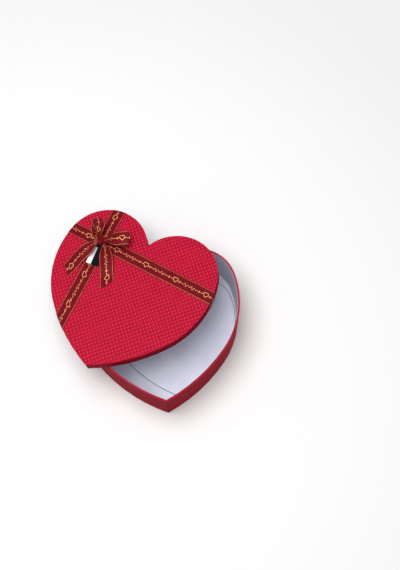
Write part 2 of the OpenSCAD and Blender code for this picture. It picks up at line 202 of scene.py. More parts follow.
class RibbonSettings(bpy.types.PropertyGroup):
    """The ribbon of bands and bow"""

    width: length_field("Width", "Width of the ribbon", 25)
    thickness: length_field("Thickness", "Thickness of the ribbon", 0.42)
    line_inset: length_field("Line inset", "Gold line to the ribbon's edge", 1.3)
    motif_pitch: length_field("Motif pitch", "Repeat of the gold motif", 62)
    satin_colour: colour_field("Satin", "Colour of the ribbon", srgb(114, 8, 26))
    gold_colour: colour_field("Gold", "Colour of the motif", srgb(252, 190, 118))
    line_colour: colour_field("Edge line", "Colour of the lines near the edges", srgb(236, 140, 84))


class BowSettings(bpy.types.PropertyGroup):
    """The bow's loops and tails, with angles from the lid's own x axis"""

    waist_angle: angle_field("Waist", "Direction in which the ribbon passes the knot", -5)
    waist_w: length_field("Waist width", "Width of the gathered ribbon", 7.5)
    exit_turn: angle_field(
        "Exit turn", "Most by which a strip turns from the waist in the knot", 18
    )
    back_loop_l: length_field("Back loop", "Length of the loop that points to the back", 42)
    back_loop_a: angle_field("Back loop angle", "Direction of that loop", 123)
    right_loop_l: length_field("Right loop", "Length of the loop that points to the right", 55)
    right_loop_a: angle_field("Right loop angle", "Direction of that loop", 23)
    left_tail_l: length_field("Left tail", "Length of the left tail", 82)
    left_tail_a: angle_field("Left tail angle", "Direction of the left tail", -115)
    right_tail_l: length_field("Right tail", "Length of the right tail", 85)
    right_tail_a: angle_field("Right tail angle", "Direction of the right tail", -57)
    slant: length_field("Slant", "Slant of a tail's cut end", 15)


class StageSettings(bpy.types.PropertyGroup):
    """Floor and light"""

    floor_colour: colour_field("Floor", "Colour of the floor", (0.97, 0.97, 0.97))
    key_power: FloatProperty(
        name="Key", description="Strength of the large lamp", default=25, unit="POWER"
    )
    fill_power: FloatProperty(
        name="Fill", description="Strength of the fill lamp", default=3, unit="POWER"
    )
    sky: FloatProperty(name="Sky", description="Strength of the world's light", default=0.42)


def settings():
    """The sizes and colours that the panel's user can change."""
    return bpy.context.scene.gift_box


# Shader maths written as Python expressions


class Expr:
    """A socket; arithmetic on it adds Math nodes."""

    def __init__(self, tree, socket):
        self.tree, self.socket = tree, socket

    def math(self, operation, *others):
        return math_node(self.tree, operation, self, *others)

    def __add__(self, other):
        return self.math("ADD", other)

    def __sub__(self, other):
        return self.math("SUBTRACT", other)

    def __rsub__(self, other):
        return math_node(self.tree, "SUBTRACT", other, self)

    def __mul__(self, other):
        return self.math("MULTIPLY", other)

    def __truediv__(self, other):
        return self.math("DIVIDE", other)

    def __pow__(self, other):
        return self.math("POWER", other)

    def __abs__(self):
        return self.math("ABSOLUTE")

    __radd__ = __add__
    __rmul__ = __mul__

    def sin(self):
        return self.math("SINE")

    def cos(self):
        return self.math("COSINE")

    def root(self):
        return self.math("SQRT")

    def floor(self):
        return self.math("FLOOR")

    def fract(self):
        return self.math("FRACT")

    def least(self, other):
        return self.math("MINIMUM", other)

    def most(self, other):
        return self.math("MAXIMUM", other)

    def above(self, edge):
        return self.math("GREATER_THAN", edge)

    def ramp(self, low, high):
        """0 at low, 1 at high and smooth between."""
        return add_node(
            self.tree,
            "ShaderNodeMapRange",
            {"interpolation_type": "SMOOTHSTEP"},
            {"Value": self, "From Min": low, "From Max": high},
        )


def math_node(tree, operation, *values):
    """The operation's result on numbers and Exprs."""
    return add_node(tree, "ShaderNodeMath", {"operation": operation}, values)


def add_node(tree, kind, options=None, inputs=(), output=0):
    """Adds a node: its options first, then the values or links of its sockets."""
    node = tree.nodes.new(kind)
    for name, value in (options or {}).items():
        setattr(node, name, value)
    pairs = inputs.items() if isinstance(inputs, dict) else enumerate(inputs)
    for name, value in pairs:
        if isinstance(value, Expr):
            tree.links.new(value.socket, node.inputs[name])
        else:
            node.inputs[name].default_value = value
    return Expr(tree, node.outputs[output])


class Finish:
    """A material whose Principled shader's sockets are set or linked by name."""

    def __init__(self, name):
        self.material = bpy.data.materials.new(name)
        self.material.use_nodes = True
        self.tree = self.material.node_tree
        self.tree.nodes.clear()
        self.shader = self.tree.nodes.new("ShaderNodeBsdfPrincipled")
        self.out = self.tree.nodes.new("ShaderNodeOutputMaterial")
        self.tree.links.new(self.shader.outputs[0], self.out.inputs["Surface"])

    def clear(self, share):
        """Lets the share of the light go straight through."""
        surface = Expr(self.tree, self.shader.outputs[0])
        through = self.node("ShaderNodeBsdfTransparent")
        mixed = self.node("ShaderNodeMixShader", inputs=[share, surface, through])
        self.tree.links.new(mixed.socket, self.out.inputs["Surface"])

    def set(self, **sockets):
        """Sets sockets by name, with an underscore for each space."""
        for name, value in sockets.items():
            socket = self.shader.inputs[name.replace("_", " ").title().replace("Ior", "IOR")]
            if isinstance(value, Expr):
                self.tree.links.new(value.socket, socket)
            elif hasattr(value, "__len__") and len(value) == 3:
                socket.default_value = (*value, 1)
            else:
                socket.default_value = value

    def node(self, kind, options=None, inputs=(), output=0):
        """Adds a node to the material."""
        return add_node(self.tree, kind, options, inputs, output)

    def place(self, matrix=TO_METRES):
        """Object coordinates, in the millimetres of the coordinates that the matrix maps from."""
        point = self.node("ShaderNodeTexCoord", output="Object")
        at, turn, size = matrix.inverted().decompose()
        return self.node(
            "ShaderNodeMapping",
            inputs={"Vector": point, "Location": at, "Rotation": turn.to_euler(), "Scale": size},
        )

    def parts(self, vector):
        """The vector's x, y and z, from one node."""
        split = self.node("ShaderNodeSeparateXYZ", inputs=[vector]).socket.node
        return tuple(Expr(self.tree, socket) for socket in split.outputs)

    def ribbon_parts(self):
        """Distances along and across the ribbon in millimetres, from its UV map."""
        uv = self.node("ShaderNodeUVMap", {"uv_map": "ribbon"})
        along, across, _ = self.parts(uv)
        return along * 1000, across * 1000

    def noise(self, vector, scale, detail=2.0, roughness=0.5):
        """Fractal noise, whose scale is in repeats per unit of the vector."""
        return self.node(
            "ShaderNodeTexNoise",
            inputs={"Vector": vector, "Scale": scale, "Detail": detail, "Roughness": roughness},
        )

    def streaks(self, along, across, detail):
        """Noise on two distances, each scaled beforehand."""
        point = self.node("ShaderNodeCombineXYZ", inputs=[along, across, 0.0])
        return self.noise(point, 1.0, detail)

    def mix(self, share, first, second):
        """Colour that goes from the first to the second as the share goes from 0 to 1."""
        as_colour = lambda c: c if isinstance(c, Expr) else (*c, 1)
        return self.node(
            "ShaderNodeMix",
            {"data_type": "RGBA"},
            {0: share, 6: as_colour(first), 7: as_colour(second)},
            output=2,
        )

    def shades(self, share, rgb, low, high):
        """The colour scaled from low to high as the share goes from 0 to 1."""
        return self.mix(share, scaled(rgb, low), scaled(rgb, high))

    def bump(self, height, distance):
        """Normal for a height from 0 to 1 that stands up by the distance, in metres."""
        return self.node("ShaderNodeBump", inputs={"Height": height, "Distance": distance})


def scaled(rgb, k):
    """The colour made darker or brighter, with no value above 1."""
    return tuple(min(1.0, c * k) for c in rgb)


def embossed_paper():
    """Red paper embossed like a plain weave: dashes along the lid in columns, every other column
    shifted by half a pitch, and flatter dashes across the lid between them. The columns and rows
    are a little skew, and the columns wander. The dashes along the lid are painted lighter, a
    painted highlight on the raised paper."""
    s = settings().paper
    f = Finish("embossed_paper")
    point = f.place(LID)
    x, y, _ = f.parts(point)
    skew_u, skew_v, wander = 0.0035, 0.016, 0.35
    dash_power, flatter = 0.7, 0.45
    u = x * (MM / s.weave_x) - y * skew_u + f.noise(point, 0.02, 1.0) * wander
    v = y * (MM / s.weave_y) + x * skew_v
    column, row = ((w * math.tau).cos() * 0.5 + 0.5 for w in (u, v))
    other_u, other_v = (((w + 0.5).floor() * math.pi).cos() for w in (u, v))
    along = column * ((v * math.pi).cos() * other_u * 0.5 + 0.5) ** dash_power
    across = row * (0.5 - (u * math.pi).cos() * other_v * 0.5)
    grain = f.noise(point, 1.6, 3.0)
    patch = f.noise(point, 0.06, 2.0)
    ground = f.shades(patch.ramp(0.35, 0.65), s.sheet_colour, 0.93, 1.05)
    # Painted highlight: the raised dashes are mixed towards the lighter ridge highlight colour.
    f.set(
        base_color=f.mix(along.ramp(0.25, 1.0) * 0.9, ground, s.ridge_highlight_colour),
        roughness=0.5 + grain * 0.12,
        normal=f.bump(along + across * flatter + grain * 0.06, s.weave_h),
        specular_ior_level=0.08,
    )
    return f.material


def cover_paper(name, matrix, edge_z):
    """Plain dark red cover paper with a fine grain. Just below the edge where it is folded over, at
    the level edge_z, it is painted paler as a painted highlight; towards its foot it is painted
    darker as painted shade; and it is darker in the seam at the heart's tip."""
    s = settings().paper
    f = Finish(name)
    point = f.place(matrix)
    x, y, z = f.parts(point)
    grain = f.noise(point, 1.1, 4.0, 0.6)
    fibre = f.noise(point, 0.35, 2.0)
    patch = f.noise(point, 0.03, 2.0)
    highlight_h, foot_h, seam_half, seam_soft, seam_y = 1.0, 4.0, 0.5, 0.7, -60.0
    # Painted highlight just below the folded edge, patchy with the fibres.
    wear_and_highlight = z.ramp(edge_z - highlight_h, edge_z - 0.15) * (0.45 + fibre * 0.6)
    # Painted shade: darker towards the paper's foot.
    foot = 1 - z.ramp(0.0, foot_h)
    near_tip = 1 - y.ramp(seam_y, seam_y + 20.0)
    seam = (1 - abs(x).ramp(seam_half, seam_half + seam_soft)) * near_tip
    ground = f.shades(patch, s.wrap_colour, 0.9, 1.1)
    # Painted shade at the foot, and the dark seam at the tip, darken the ground.
    shaded = f.mix(foot.most(seam * 2.0) * 0.35, ground, scaled(s.wrap_colour, 0.55))
    # The folded edge is mixed towards its painted highlight colour.
    f.set(
        base_color=f.mix(wear_and_highlight.least(1.0), shaded, s.rim_highlight_colour),
        roughness=0.52 + grain * 0.14,
        normal=f.bump(grain * 0.6 + fibre * 0.4, 0.08 * MM),
        specular_ior_level=0.015,
    )
    return f.material


def lining_paper(name, tint, wrinkle):
    """Pale paper with fibres and soft wrinkles, whose height is given in metres."""
    f = Finish(name)
    point = f.place()
    fibre = f.noise(point, 1.4, 3.0)
    cloud = f.noise(point, 0.022, 3.0)
    fold = f.noise(point, 0.03, 1.0)
    f.set(
        base_color=f.shades(cloud.ramp(0.3, 0.7), tint, 0.95, 1.03),
        roughness=0.62 + fibre * 0.1,
        normal=f.bump(fibre * 0.05 + fold, wrinkle),
        specular_ior_level=0.3,
    )
    return f.material


def grey_board():
    """Raw grey board with dark and pale specks."""
    f = Finish("grey_board")
    fibre = f.noise(f.place(), 2.2, 5.0, 0.7)
    f.set(
        base_color=f.shades(fibre.ramp(0.3, 0.7), settings().paper.board_colour, 0.8, 1.15),
        roughness=0.85,
        normal=f.bump(fibre, 0.1 * MM),
    )
    return f.material


def painted_edge_shade():
    """Painted shade for the dark line along the card's edge: dark blue-grey, with pale fibres."""
    f = Finish("painted_edge_shade")
    fibre = f.noise(f.place(), 1.6, 3.0)
    f.set(
        base_color=f.mix(fibre.ramp(0.45, 0.8), srgb(76, 80, 104), srgb(116, 120, 148)),
        roughness=0.8,
        normal=f.bump(fibre, 0.04 * MM),
        specular_ior_level=0.1,
    )
    return f.material


def gummed_tape():
    """Brown paper tape with a faint lengthways grain."""
    f = Finish("gummed_tape")
    point = f.place()
    _, _, z = f.parts(point)
    grain = f.noise(point, 0.8, 3.0)
    rib = (z * 3.0).sin() * 0.5 + 0.5
    f.set(
        base_color=f.mix(grain, srgb(176, 146, 98), srgb(206, 178, 130)),
        roughness=0.55,
        normal=f.bump(grain * 0.5 + rib * 0.2, 0.05 * MM),
    )
    return f.material


def set_glue():
    """Milky set glue with shallow ripples."""
    f = Finish("set_glue")
    ripple = f.noise(f.place(), 0.7, 2.0)
    f.set(
        base_color=f.mix(ripple, srgb(214, 206, 186), srgb(236, 231, 216)),
        roughness=0.3,
        normal=f.bump(ripple, 0.2 * MM),
    )
    return f.material


def heart_line(x, y, size, thick):
    """Mask of a heart's outline: 1 within thick of the heart's edge. The distance is to the
    lobe's circle above the slanted side and to the side or the notch point below it."""
    middle, lobe_x, lobe_y, lobe_r = 0.55, 0.25, 0.75, 0.35355
    px = abs(x) / size
    py = y / size + middle
    beyond = (px + py).above(1.0)
    cx, cy = px - lobe_x, py - lobe_y
    lobe = (cx * cx + cy * cy).root() - lobe_r
    k = (px + py).most(0.0) * 0.5
    side = (px - k) ** 2 + (py - k) ** 2
    notch = px * px + (py - 1.0) ** 2
    flank = side.least(notch).root() * (px - py).math("SIGN")
    gap = abs(lobe * beyond + flank * (1 - beyond)) * size
    return 1 - gap.ramp(thick * 0.5, thick)


def satin(name, printed=1.0):
    """Dark red satin ribbon with a gold line near each edge. Between them a gold motif repeats:
    a heart, a line with small crosses, and a run of waves. All sizes are in millimetres."""
    s = settings().ribbon
    f = Finish(name)
    along, across = f.ribbon_parts()
    pitch, line_w, weft_pitch = s.motif_pitch / MM, 0.3, 0.5
    heart_at, heart_size, heart_thick = 9.0, 8.0, 0.5
    first_bar, last_bar = 18.0, 58.0
    waves_from, waves_to, wave_k, swell_k = 23.0, 54.0, 0.95, 0.47
    stroke_half, bar_half_w, bar_half_h = 0.18, 0.25, 2.0
    edge = s.width / MM / 2 - s.line_inset / MM
    edge_line = 1 - abs(abs(across) - edge).ramp(line_w * 0.5, line_w)
    u = (along / pitch).fract() * pitch
    heart = heart_line(u - heart_at, across, heart_size, heart_thick)
    in_waves = u.ramp(waves_from, waves_from + 3.0) * (1 - u.ramp(waves_to - 4.0, waves_to))
    swing = ((u * swell_k).sin() + 1.9) * in_waves
    wave = (u * wave_k).sin() * swing
    slope = (u * wave_k).cos() * swing * wave_k
    beside_heart = abs(u - heart_at).ramp(4.2, 4.8)
    stroke = abs(across - wave) / (slope * slope + 1.0).root()
    line = (1 - stroke.ramp(stroke_half, stroke_half + 0.2)) * beside_heart
    bar_h = 1 - abs(across).ramp(bar_half_h, bar_half_h + 0.4)
    bar = lambda at: (1 - abs(u - at).ramp(bar_half_w, bar_half_w * 2)) * bar_h
    motif = heart.most(line).most(bar(first_bar)).most(bar(last_bar))
    weft = (along * (math.tau / weft_pitch)).sin() * 0.5 + 0.5
    streak = f.streaks(along * 0.05, across * 1.2, 2.0)
    selvedge = abs(across).ramp(edge + 0.7, edge + 1.25)
    cloth = f.shades(streak.ramp(0.3, 0.7), s.satin_colour, 0.82, 1.2)
    ground = f.mix(selvedge * 0.6, cloth, scaled(s.satin_colour, 0.6))
    gold = edge_line.most(motif) * printed
    wear_and_highlight = 0.78 + streak * 0.3
    ink = f.mix(edge_line, s.gold_colour, s.line_colour)
    f.set(
        base_color=f.mix((gold * wear_and_highlight).least(1.0), ground, ink),
        roughness=0.36 + streak * 0.1 - gold * 0.06,
        metallic=gold * 0.2,
        normal=f.bump(weft * 0.2 + gold * 0.5 + streak * 0.3, 0.06 * MM),
        specular_ior_level=0.06,
    )
    return f.material


def tag_card():
    """Black card with one half in brushed silver foil, brighter away from the knot. The foil ends
    short of the card's ends and beside its middle."""
    f = Finish("tag_card")
    x, y, _ = f.parts(f.place(TAG))
    brush = f.streaks(x * 0.06, y * 0.9, 3.0)
    foil_y, foil_from, foil_to = -2.9, 12.0, 46.0
    lengthways = x.ramp(foil_from, foil_from + 0.5) * (1 - x.ramp(foil_to, foil_to + 0.4))
    silver = lengthways * (1 - y.ramp(foil_y, foil_y + 0.3))
    sheen = x.ramp(16.0, 42.0) * 0.7 + brush.ramp(0.25, 0.75) * 0.3
    foil = f.mix(sheen, srgb(150, 150, 157), srgb(246, 246, 250))
    black = f.mix(brush, srgb(7, 7, 9), srgb(17, 17, 20))
    f.set(
        base_color=f.mix(silver, black, foil),
        roughness=0.38 - silver * 0.1 + brush * 0.08,
        metallic=silver * 0.35,
        normal=f.bump(brush * 0.2 + silver * 0.3, 0.08 * MM),
        specular_ior_level=0.05,
    )
    return f.material


# Making pieces


def grid_mesh(name, points, uv, matrix, closed=False):
    """Object of a grid of points, rows by columns by 3, put through the matrix, with a UV map
    called ribbon. A closed grid joins its last row to its first, and its UVs have one row more."""
    rows, cols, _ = points.shape
    flat = points.reshape(-1, 3)
    turned = flat @ np.array(matrix.to_3x3()).T + np.array(matrix.translation)
    steps = rows if closed else rows - 1
    i, j = np.meshgrid(np.arange(steps), np.arange(cols - 1), indexing="ij")
    after = (i + 1) % rows
    quads = np.stack(
        [i * cols + j, after * cols + j, after * cols + j + 1, i * cols + j + 1], -1
    ).reshape(-1, 4)
    corner = np.stack(
        [
            np.stack([i, j], -1),
            np.stack([i + 1, j], -1),
            np.stack([i + 1, j + 1], -1),
            np.stack([i, j + 1], -1),
        ],
        2,
    ).reshape(-1, 2)
    mesh = bpy.data.meshes.new(name)
    mesh.from_pydata(turned.tolist(), [], quads.tolist())
    layer = mesh.uv_layers.new(name="ribbon")
    layer.data.foreach_set("uv", uv[corner[:, 0], corner[:, 1]].ravel())
    mesh.shade_smooth()
    mesh.update()
    piece = bpy.data.objects.new(name, mesh)
    bpy.context.scene.collection.objects.link(piece)
    return piece


def thicken(piece, thickness):
    """Gives the surface its thickness, half on each side."""
    wall = piece.modifiers.new("Thickness", "SOLIDIFY")
    wall.thickness = thickness
    wall.offset = 0
    wall.use_even_offset = False


def middle_steps(points):
    """Lengths from each row to the next on a surface's middle line."""
    middle = points[:, points.shape[1] // 2]
    return np.linalg.norm(np.diff(middle, axis=0), axis=1)


def ribbon_uv(points, width):
    """UVs in metres: along is the length of the middle line up to each row, across is the real
    distance from the middle, so that the print doesn't shrink where the ribbon is gathered."""
    along = np.concatenate([[0], np.cumsum(middle_steps(points))])
    across = np.linspace(-0.5, 0.5, points.shape[1]) * width
    return np.stack(np.meshgrid(along * MM, across * MM, indexing="ij"), -1)


def finish_ribbon(piece, material, node):
    """Gives a piece of ribbon its finish and thickness, puts it on the lid and hides the node it
    replaces.
    """
    piece.data.materials.append(material)
    thicken(piece, settings().ribbon.thickness)
    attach(piece, "lid")
    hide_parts(node)


# The bands, in the lid's millimetres: the middle of the ribbon's thickness lies off the paper

BAND_COLS, BAND_ROWS = 13, 148
BAND_OFF, BAND_FILLET = 0.25, 0.3
TUCK_H, TUCK_OFF = 10.0, 0.4
CROSSING_H, CROSSING_L = 1.3, 4.0


def band_points(heading_a, hump):
    """A band over the lid's top that goes down the skirt, under its edge and up its inside. Each
    line of the band is cut where it leaves the heart's outline, and its height follows the
    corners of the skirt. The hump lifts it over the band that it crosses, and between its ends it
    has a faint ripple of two slanted sines."""
    ribbon = settings().ribbon
    width = ribbon.width / MM
    heading, side = unit(heading_a), unit(heading_a + math.pi / 2)
    v = np.linspace(-0.5, 0.5, BAND_COLS) * width
    starts = BOW_AT + v[:, None] * side
    outer = line_ends(starts, heading, heart_outline(-BAND_OFF))
    inner = line_ends(starts, heading, heart_outline(SKIRT_T + TUCK_OFF))
    low, top = -BAND_OFF, SKIRT_H + BAND_OFF

    def end(out, tucked, sign):
        """Distances along the heading and heights, from the tucked end to the lid's top."""
        shift = sign * BAND_FILLET
        rows = (
            (tucked, TUCK_H),
            (tucked, (TUCK_H + low) / 2),
            (tucked, low + BAND_FILLET),
            (tucked + shift, low),
            (out - shift, low),
            (out, low + BAND_FILLET),
            (out, (top + low) / 2),
            (out, top - BAND_FILLET),
            (out - shift, top),
        )
        return np.array([at for at, _ in rows]), np.array([0 * out + z for _, z in rows])

    first, first_z = end(outer[0], inner[0], -1)
    last, last_z = end(outer[1], inner[1], 1)
    share = np.linspace(0, 1, BAND_ROWS + 2)[1:-1, None]
    run = first[-1] + (last[-1] - first[-1]) * share
    beyond = (np.abs(run) - width / 2) / CROSSING_L
    lift = hump * (ribbon.thickness / MM) * CROSSING_H * (1 - smooth(beyond))
    ripple = 0.10 * np.sin(run / 23.0 + v / 9.0) + 0.06 * np.sin(run / 7.0 - v / 5.0)
    inside = smooth(np.minimum(run - first[-1], last[-1] - run) / 12.0)
    rise = top + lift + (0.1 + ripple) * inside
    along = np.concatenate([first, run, last[::-1]])
    z = np.concatenate([first_z, rise, last_z[::-1]])
    plan = starts[None] + along[..., None] * heading
    return np.concatenate([plan, z[..., None]], -1)


def card_edge_points():
    """Painted shade of the card's dark edge line, on a strip round the card on the floor: round its
    outline, a lip over its top and a face down its side, a hair outside the card. Each ring is the
    heart's outline at its inset."""
    lip, corner, proud, steps = 0.8, 0.1, 0.08, 60
    rings = []
    for inset, z in (
        (CARD_IN + lip, CARD_TOP + 0.03),
        (CARD_IN + corner, CARD_TOP + 0.06),
        (CARD_IN - proud, CARD_TOP - corner),
        (CARD_IN - proud, CARD_LOW + corner),
    ):
        ring = heart_outline(inset, steps)
        rings.append(np.concatenate([ring, np.full((len(ring), 1), z)], 1))
    return np.stack(rings, 1)[::-1]


# The bow, in millimetres from the bands' crossing on the lid's top

KNOT_W, KNOT_L, KNOT_H, KNOT_Z = 8.0, 16.5, 8.0, 2.4
WAIST_Z, LAYER = 3.95, 1.2
STRIP_END, STRIP_KNEE, OPEN_L = 2.2, 15.0, 28.0
TAG_REACH = math.hypot(47.0, 12.0)
REST_Z = 0.6
STRIP_COLS, LOOP_ROWS, TAIL_ROWS = 41, 141, 121
PLEATS = 3.0


def bend(p, q, r, t):
    """Quadratic curve from p towards q to r, and its direction."""
    t = t[:, None]
    at = (1 - t) ** 2 * p + 2 * t * (1 - t) * q + t**2 * r
    way = (1 - t) * (q - p) + t * (r - q)
    return at, way / np.linalg.norm(way, axis=1, keepdims=True)


def exit_way(angle, side):
    """Direction in which a strip leaves the knot: the waist's on that side, turned towards the
    strip's own angle by at most the exit turn."""
    bow = settings().bow
    waist = bow.waist_angle + (0 if side > 0 else math.pi)
    turn = (angle - waist + 3 * math.pi) % math.tau - math.pi
    return unit(waist + min(bow.exit_turn, max(-bow.exit_turn, turn)))


def strip_route(angle, reach, away, share):
    """Plan route of a strip from the knot's edge, bent from its exit to its angle and reach."""
    return bend(KNOT_W / 2 * away, STRIP_KNEE * away, reach * unit(angle), share)


def pleats(distance, v, depth, phase):
    """Folds along the ribbon that are shallow in the knot, deepest just outside it and gone
    further on: rounded ridges with sharp valleys, the rounded size of a sine across the ribbon,
    times a hump of the distance from the knot."""
    swell_l, fade_at, fade_l = 9.0, 14.0, 34.0
    rounding, mean, gain = 0.015, 0.55, 1.7
    swell = 0.2 + 0.8 * smooth((distance - KNOT_W / 2 - 1.0) / swell_l)
    fade = 1 - smooth((distance - fade_at) / fade_l)
    ridge = np.sqrt(np.sin(math.pi * PLEATS / 2 * v + phase) ** 2 + rounding) - mean
    return gain * depth * (swell * fade)[:, None] * ridge


def opened_w(distance):
    """Half width of the gathered ribbon at a distance from the knot's middle."""
    bow, ribbon = settings().bow, settings().ribbon
    narrow, wide = bow.waist_w / MM, ribbon.width / MM
    return (narrow + (wide - narrow) * smooth((distance - KNOT_W / 2) / OPEN_L)) / 2


def strip_points(
    plan, way, z, lean, depth, phase, crown, slant=0.0, bulge=0.0, up=1.0, crease=0.0
):
    """Grid of points of a ribbon that follows a plan route at a height: across the route by the
    opened width, along the surface's normal by the crown and the pleats, and along the route by
    the slant times v and back from the bulge by v squared. Where the route comes back over
    itself, its normal points down, and up is -1 there. Slanted waves of the crease's height lie
    over it."""
    column = lambda values: np.reshape(values, (-1, 1))
    normed = lambda vectors: vectors / np.linalg.norm(vectors, axis=1, keepdims=True)
    wave_l, wave_skew = 21, 1.4
    v = np.linspace(-1, 1, STRIP_COLS)
    distance = np.linalg.norm(plan, axis=1)
    middle = np.concatenate([plan, column(z)], 1)
    aside = np.stack([-way[:, 1], way[:, 0]], 1)
    across = np.concatenate([aside * column(np.cos(lean)), column(np.sin(lean))], 1)
    along = normed(np.gradient(middle, axis=0))
    normal = normed(np.cross(along, across))
    half = opened_w(distance)
    outward = np.concatenate([way, column(0 * half)], 1)
    waves = np.sin(np.pi * (wave_skew * v + column(distance) / wave_l + phase))
    lift = column(crown) * (1 - v**2) + pleats(distance, v, depth, phase) + column(crease) * waves
    points = middle[:, None] + across[:, None] * (column(half) * v)[..., None]
    points = points + along[:, None] * (column(slant) * v)[..., None]
    points = points - outward[:, None] * (column(bulge) * v**2)[..., None]
    return points + normal[:, None] * (lift * column(up))[..., None]


def loop_points(angle, reach, side, roll, depth, phase, belly, drawn, mouth=0.0):
    """A loop that leaves the knot along the waist, bends to its angle, turns back over itself and
    returns: the distance out is the square of a sine, the lower ribbon climbs late and the upper
    one early. The lower ribbon is drawn aside, and the upper one leans by the mouth's angle and
    moves the other way, so that the loop stands open on one side."""
    exit_climb, mean_h, spread_h, dip = 2.2, 10.5, math.sqrt(2) * 7.5, 1.6
    mouth_shift, knot_crown, end_bulge, crease_h = 6.0, 0.4, 3.5, 1.3
    away = exit_way(angle, side)
    u = np.linspace(0, 1, LOOP_ROWS)
    out, fore = np.sin(np.pi * u) ** 2, np.cos(np.pi * u)
    halfway = np.sin(np.pi * out)
    plan, way = strip_route(angle, reach, away, out)
    below = fore.clip(0, 1)
    above = smooth((u - 0.5) / 0.2) * smooth(out / 0.3)
    aside = np.stack([-way[:, 1], way[:, 0]], 1)
    moved = drawn * halfway * below - mouth_shift * math.sin(mouth) * above
    plan = plan + aside * moved[:, None]
    climb = exit_climb * smooth(out / 0.12)
    z = WAIST_Z + LAYER * (1 + u) + climb + out * (mean_h - spread_h * fore)
    z = z - dip * halfway * below
    points = strip_points(
        plan,
        way,
        z,
        roll * out + mouth * above,
        depth,
        phase,
        knot_crown * (1 - out) + belly * out,
        bulge=end_bulge * smooth((out - 0.6) / 0.4),
        up=fore,
        crease=crease_h * halfway * (-fore).clip(0, 1),
    )
    inner = (KNOT_W / 2 - STRIP_END) * np.array([*away, 0])
    return np.concatenate([points[:1] - inner, points, points[-1:] - inner])


def tail_points(angle, reach, side, slant, depth, phase, sway):
    """A tail that leaves the knot along the waist, bends to its angle, lies over the tag and
    sinks to the lid beyond it, with a slanted end that curls up a little."""
    start_z, curl = WAIST_Z + 0.2, 0.5
    away = exit_way(angle, side)
    u = np.linspace(0, 1, TAIL_ROWS)
    plan, way = strip_route(angle, reach, away, u)
    distance = np.linalg.norm(plan, axis=1)
    sink = smooth((distance - TAG_REACH) / (0.6 * (reach - TAG_REACH)))
    swell = sway * np.sin(np.pi * smooth(u)) ** 2
    z = REST_Z + (start_z - REST_Z) * (1 - sink) + swell
    z = z + curl * smooth((u - 0.86) / 0.14) ** 2
    crown = 0.3 + 0.7 * smooth(u / 0.4) * (1 - 0.6 * sink)
    points = strip_points(plan, way, z, 0 * u, depth, phase, crown, slant=slant / 2 * u**5)
    inner = (KNOT_W / 2 - STRIP_END) * np.array([*away, 0])
    return np.concatenate([points[:1] - inner, points])


def knot_points():
    """The knot's band: a rounded oblong drawn round the waist with folds that run round it. Across
    the band the route is flat, turns a quarter circle and goes inwards, so its edges turn in."""
    around, corner, turned, squareness = 96, 1.0, 1.3, 0.62
    fold_h, fold_k, fold_phase, top_crown = 0.36, 4.4, 0.6, 0.6
    slack_l, slack_h = 0.4, 0.3
    phi = np.linspace(0, 2 * np.pi, around + 1)[:-1]
    w = np.linspace(-1, 1, STRIP_COLS)
    flat_half = KNOT_W / 2 - 1.1
    arc_l = (flat_half + corner * math.pi / 2 + turned) * np.abs(w)
    bent = np.clip((arc_l - flat_half) / corner, 0, math.pi / 2)
    over = np.sign(w) * (np.minimum(arc_l, flat_half) + corner * np.sin(bent))
    past = np.maximum(arc_l - flat_half - corner * math.pi / 2, 0)
    drop = corner * (1 - np.cos(bent)) + past
    flat, high = (np.sign(t) * np.abs(t) ** squareness for t in (np.cos(phi), np.sin(phi)))
    fold = fold_h * np.cos(fold_k * over / KNOT_W * np.pi + fold_phase) * (1 - w**4)
    top = smooth((np.sin(phi) + 0.4) / 0.6)[:, None]
    reach_y = KNOT_L / 2 - slack_l - drop + fold * top
    reach_z = KNOT_H / 2 - slack_h - drop + (top_crown * (1 - w**2) + fold) * top
    x = np.broadcast_to(over, (around, STRIP_COLS))
    y = flat[:, None] * reach_y
    z = KNOT_Z + KNOT_H / 2 + high[:, None] * reach_z
    turn = unit(settings().bow.waist_angle)
    return np.stack([x * turn[0] - y * turn[1], x * turn[1] + y * turn[0], z], -1)


# The stage, in metres

LAMPS_AIM = Vector((0.0, 0.0, 0.05))


def aimed(name, data, at, direction):
    """Object of a camera or lamp at a place, turned to look in the direction."""
    piece = bpy.data.objects.new(name, data)
    piece.location = at
    piece.rotation_mode = "QUATERNION"
    piece.rotation_quaternion = direction.to_track_quat("-Z", "Y")
    bpy.context.scene.collection.objects.link(piece)
    return piece


def make_camera(scene):
    """Camera of the picture, found from the outlines of lid, rim and foot."""
    camera = bpy.data.cameras.new("camera")
    camera.lens, camera.sensor_width = 56.84, 36
    camera.clip_start, camera.clip_end = 0.05, 20
    at = Vector((29.8, -494.2, 1624.0)) * MM
    look = Vector((0.0287, 0.3207, -0.9468)).normalized()
    scene.camera = aimed("camera", camera, at, look)
    scene.view_settings.view_transform = "Standard"


def make_floor(tint):
    """A wide pale floor. Far from the object it goes over into the white of the world."""
    half_w, below = 6, 0.0002
    clear_from, clear_to = 0.6 / MM, 1.3 / MM
    steps = np.linspace(-half_w, half_w, 3)
    x, y = np.meshgrid(steps, steps[::-1], indexing="ij")
    points = np.stack([x, y, 0 * x - below], -1)
    floor = grid_mesh("floor", points, np.zeros((3, 3, 2)), Matrix.Identity(4))
    f = Finish("floor_paper")
    f.set(base_color=tint, roughness=0.8, specular_ior_level=0.2)
    x, y, _ = f.parts(f.place())
    f.clear((x * x + y * y).root().ramp(clear_from, clear_to))
    floor.data.materials.append(f.material)


def make_lamp(name, at, size, power):
    """Round soft lamp that looks at the middle of the box."""
    lamp = bpy.data.lights.new(name, "AREA")
    lamp.energy, lamp.size, lamp.shape = power, size, "DISK"
    aimed(name, lamp, at, LAMPS_AIM - Vector(at))


